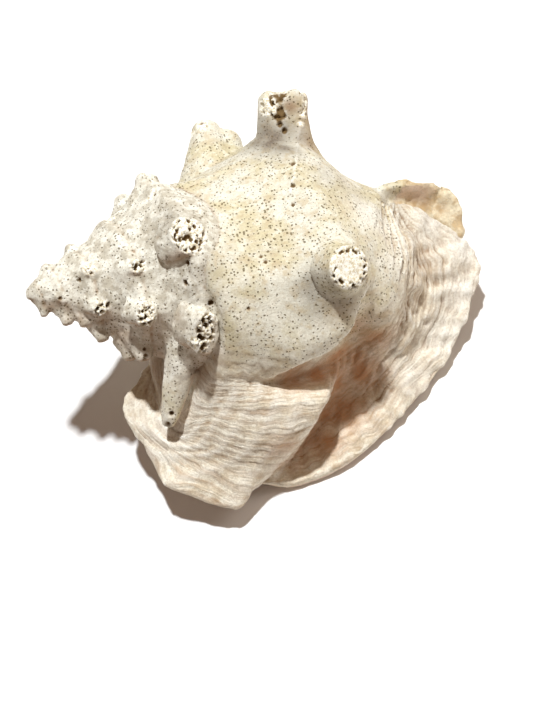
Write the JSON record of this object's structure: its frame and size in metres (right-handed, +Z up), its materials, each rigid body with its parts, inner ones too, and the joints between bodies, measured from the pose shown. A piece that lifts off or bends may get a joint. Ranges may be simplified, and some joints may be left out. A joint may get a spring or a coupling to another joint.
{
  "type": "conch shell",
  "caption": "Beach-worn conch shell: knobbed spire, broken blunt spines on the body whorl, wide flared outer lip and short turned-back canal.",
  "frame": {"origin": "on the ground under the middle of the bounding box of the lying shell", "axes": "+X from the spire towards the canal, +Z up as the shell lies on its lip, -Y towards the flared lip's side"},
  "size_m": [0.2142, 0.1832, 0.118],
  "materials": {
    "weathered_shell": "matt chalky aragonite, bleached and pitted"
  },
  "bodies": {
    "root": {"shell": "weathered_shell"}
  },
  "joints": []
}
